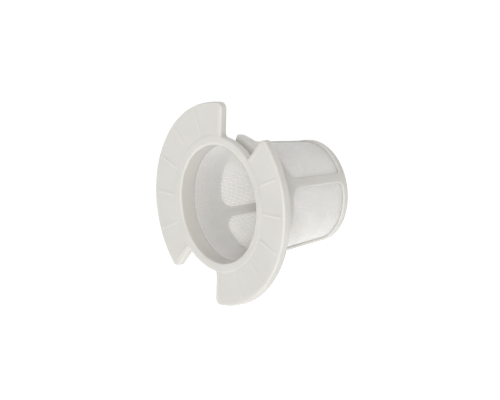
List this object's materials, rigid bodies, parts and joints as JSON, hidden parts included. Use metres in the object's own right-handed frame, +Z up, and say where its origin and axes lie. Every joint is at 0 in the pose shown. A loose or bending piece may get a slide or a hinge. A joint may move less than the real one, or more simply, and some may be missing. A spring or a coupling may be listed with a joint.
{
  "type": "snap-in strainer insert",
  "caption": "Flanged snap-in strainer insert: a notched flange and wide mouth lead into a tapering ribbed cup of fine mesh, held in a panel hole by snap barbs.",
  "frame": {"origin": "centre of the flange's back face, on the axis of the hole that the neck fills", "axes": "+Y runs along the cup's axis from the mouth into the wall, +Z is up through one notch and its barb, +X completes the right-handed frame"},
  "size_m": [0.04, 0.0253, 0.0368],
  "materials": {
    "frame_plastic": "natural translucent white moulding, satin",
    "mesh_weave": "fine plain weave of natural white monofilament"
  },
  "bodies": {
    "root": {"mouth_collar": "frame_plastic", "wing_right": "frame_plastic", "wing_left": "frame_plastic", "barb_upper": "frame_plastic", "barb_lower": "frame_plastic", "rib_1": "frame_plastic", "rib_2": "frame_plastic", "rib_3": "frame_plastic", "rib_4": "frame_plastic", "end_frame": "frame_plastic", "side_mesh": "mesh_weave", "end_mesh": "mesh_weave"}
  },
  "joints": []
}
